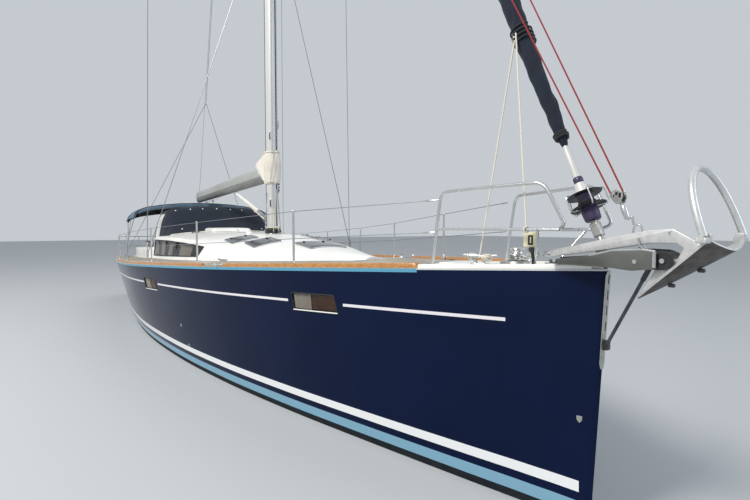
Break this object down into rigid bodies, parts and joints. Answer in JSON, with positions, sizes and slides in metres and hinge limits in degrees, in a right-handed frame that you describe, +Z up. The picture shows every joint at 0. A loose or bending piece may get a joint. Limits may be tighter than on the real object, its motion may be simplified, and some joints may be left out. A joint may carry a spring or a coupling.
{
  "type": "sailing yacht",
  "caption": "Decked cruising sloop with fin keel, spade rudder, hollow deckhouse, twin wheels, sloop rig with furled sails, dodger and bimini; boom, helm, hatches and furler move.",
  "frame": {"origin": "on the centreline at the waterline, at mid hull length", "axes": "+X towards the bow, +Y to port, +Z up"},
  "size_m": [15.7641, 4.57, 21.04],
  "materials": {
    "navy_gelcoat": "high gloss",
    "white_gelcoat": "gloss",
    "varnished_teak": "satin varnish",
    "weathered_teak": "bare, weathered grey",
    "stainless": "polished",
    "galvanised": "galvanised",
    "spar_aluminium": "anodised, satin",
    "smoked_acrylic": "smoked, gloss",
    "navy_canvas": "woven acrylic cloth",
    "grey_blue_canvas": "woven acrylic cloth",
    "cream_canvas": "woven cloth",
    "keel_iron": "painted, matt",
    "bronze": "dull",
    "drive_paint": "painted, satin",
    "engine_paint": "painted",
    "black_plastic": "satin",
    "rudder_paint": "antifouling, matt"
  },
  "bodies": {
    "yacht": {"hull": "navy_gelcoat", "hull_window_port": "smoked_acrylic", "hull_window_starboard": "smoked_acrylic", "toe_rail_port": "varnished_teak", "toe_rail_starboard": "varnished_teak", "bow_capping": "white_gelcoat", "deckhouse": "white_gelcoat", "saloon_window_port": "smoked_acrylic", "saloon_window_starboard": "smoked_acrylic", "teak_deck": "weathered_teak", "keel": "keel_iron", "saildrive": "drive_paint", "engine": "engine_paint", "pedestal_port": "white_gelcoat", "pedestal_starboard": "white_gelcoat", "cockpit_table": "varnished_teak", "mast": "spar_aluminium", "spreaders_lower": "spar_aluminium", "spreaders_upper": "spar_aluminium", "shrouds_port": "stainless", "shrouds_starboard": "stainless", "backstay": "stainless", "bow_roller": "stainless", "bobstay": "stainless", "anchor": "galvanised", "windlass": "stainless", "pulpit": "stainless", "pushpit_port": "stainless", "pushpit_starboard": "stainless", "lifelines_port": "stainless", "lifelines_starboard": "stainless", "dodger": "navy_canvas", "bimini": "grey_blue_canvas", "bimini_frame": "stainless"},
    "boom_and_vang": {"boom": "spar_aluminium", "vang": "spar_aluminium", "gooseneck_cover": "cream_canvas"},
    "furler": {"furler_drum": "black_plastic", "genoa_furled": "navy_canvas"},
    "rudder": {"rudder": "rudder_paint"},
    "helm_port": {"wheel_port": "stainless"},
    "helm_starboard": {"wheel_starboard": "stainless"},
    "propeller": {"propeller": "bronze"},
    "winch_cockpit_port": {"winch_cockpit_port": "stainless"},
    "winch_cockpit_starboard": {"winch_cockpit_starboard": "stainless"},
    "winch_house_port": {"winch_house_port": "stainless"},
    "winch_house_starboard": {"winch_house_starboard": "stainless"},
    "windlass_drum": {"windlass_drum": "stainless"},
    "companion_hatch": {"companion_hatch": "smoked_acrylic"},
    "companion_door": {"companion_door": "varnished_teak"},
    "hatch_forward": {"hatch_forward": "smoked_acrylic"},
    "hatch_middle_port": {"hatch_middle_port": "smoked_acrylic"},
    "hatch_middle_starboard": {"hatch_middle_starboard": "smoked_acrylic"},
    "hatch_after_port": {"hatch_after_port": "smoked_acrylic"},
    "hatch_after_starboard": {"hatch_after_starboard": "smoked_acrylic"},
    "anchor_locker_lid": {"anchor_locker_lid": "white_gelcoat"},
    "seat_lid_port": {"seat_lid_port": "weathered_teak"},
    "seat_lid_starboard": {"seat_lid_starboard": "weathered_teak"},
    "boarding_ladder": {"boarding_ladder": "stainless"}
  },
  "joints": [
    {"name": "boom_swing", "type": "hinge", "parent": "yacht", "child": "boom_and_vang", "pos_m": [0.8, 0, 3.068], "axis": [0, 0, 1], "range_deg": [-68, 68]},
    {"name": "furler_spin", "type": "hinge", "parent": "yacht", "child": "furler", "pos_m": [7.45, 0, 1.97], "axis": [-0.4048, 0, 0.9144], "continuous": true},
    {"name": "rudder_turn", "type": "hinge", "parent": "yacht", "child": "rudder", "pos_m": [-5.95, 0, 0], "axis": [0, 0, 1], "range_deg": [-35, 35]},
    {"name": "wheel_port_turn", "type": "hinge", "parent": "yacht", "child": "helm_port", "pos_m": [-5.48, 0.83, 1.43], "axis": [1, 0, 0], "range_deg": [-450, 450]},
    {"name": "wheel_starboard_turn", "type": "hinge", "parent": "yacht", "child": "helm_starboard", "pos_m": [-5.48, -0.83, 1.43], "axis": [1, 0, 0], "range_deg": [-450, 450]},
    {"name": "propeller_spin", "type": "hinge", "parent": "yacht", "child": "propeller", "pos_m": [-3.3, 0, -1.02], "axis": [1, 0, 0], "continuous": true},
    {"name": "winch_cockpit_port_spin", "type": "hinge", "parent": "yacht", "child": "winch_cockpit_port", "pos_m": [-4.65, 1.45, 1.6], "axis": [0, 0, 1], "continuous": true},
    {"name": "winch_cockpit_starboard_spin", "type": "hinge", "parent": "yacht", "child": "winch_cockpit_starboard", "pos_m": [-4.65, -1.45, 1.6], "axis": [0, 0, 1], "continuous": true},
    {"name": "winch_house_port_spin", "type": "hinge", "parent": "yacht", "child": "winch_house_port", "pos_m": [-2.8, 0.78, 2], "axis": [0, 0, 1], "continuous": true},
    {"name": "winch_house_starboard_spin", "type": "hinge", "parent": "yacht", "child": "winch_house_starboard", "pos_m": [-2.8, -0.78, 2], "axis": [0, 0, 1], "continuous": true},
    {"name": "windlass_drum_spin", "type": "hinge", "parent": "yacht", "child": "windlass_drum", "pos_m": [6.78, -0.065, 1.95], "axis": [0, 0, 1], "continuous": true},
    {"name": "companion_hatch_slide", "type": "slide", "parent": "yacht", "child": "companion_hatch", "axis": [1, 0, 0], "range_m": [0, 0.6]},
    {"name": "companion_door_swing", "type": "hinge", "parent": "yacht", "child": "companion_door", "pos_m": [-3.2113, 0.35, 1.7], "axis": [0, 0, -1], "range_deg": [0, 110]},
    {"name": "hatch_forward_lift", "type": "hinge", "parent": "yacht", "child": "hatch_forward", "pos_m": [3.34, 0, 1.828], "axis": [0, 1, 0], "range_deg": [0, 80]},
    {"name": "hatch_middle_port_lift", "type": "hinge", "parent": "yacht", "child": "hatch_middle_port", "pos_m": [2.38, 0.56, 1.883], "axis": [0, 1, 0], "range_deg": [0, 80]},
    {"name": "hatch_middle_starboard_lift", "type": "hinge", "parent": "yacht", "child": "hatch_middle_starboard", "pos_m": [2.38, -0.56, 1.883], "axis": [0, 1, 0], "range_deg": [0, 80]},
    {"name": "hatch_after_port_lift", "type": "hinge", "parent": "yacht", "child": "hatch_after_port", "pos_m": [1.67, 0.69, 1.92], "axis": [0, 1, 0], "range_deg": [0, 80]},
    {"name": "hatch_after_starboard_lift", "type": "hinge", "parent": "yacht", "child": "hatch_after_starboard", "pos_m": [1.67, -0.69, 1.92], "axis": [0, 1, 0], "range_deg": [0, 80]},
    {"name": "anchor_locker_lift", "type": "hinge", "parent": "yacht", "child": "anchor_locker_lid", "pos_m": [6.005, 0, 1.79], "axis": [0, -1, 0], "range_deg": [0, 80]},
    {"name": "seat_lid_port_lift", "type": "hinge", "parent": "yacht", "child": "seat_lid_port", "pos_m": [-4.2, 1.165, 1.36], "axis": [-1, 0, 0], "range_deg": [0, 80]},
    {"name": "seat_lid_starboard_lift", "type": "hinge", "parent": "yacht", "child": "seat_lid_starboard", "pos_m": [-4.2, -1.165, 1.36], "axis": [1, 0, 0], "range_deg": [0, 80]},
    {"name": "boarding_ladder_fold", "type": "hinge", "parent": "yacht", "child": "boarding_ladder", "pos_m": [-7.41359, 0, 0.3403], "axis": [0, -1, 0], "range_deg": [0, 165]}
  ],
  "couplings": [
    {"joint": "wheel_port_turn", "follows": "rudder_turn", "ratio": 12.857},
    {"joint": "wheel_starboard_turn", "follows": "rudder_turn", "ratio": 12.857}
  ]
}
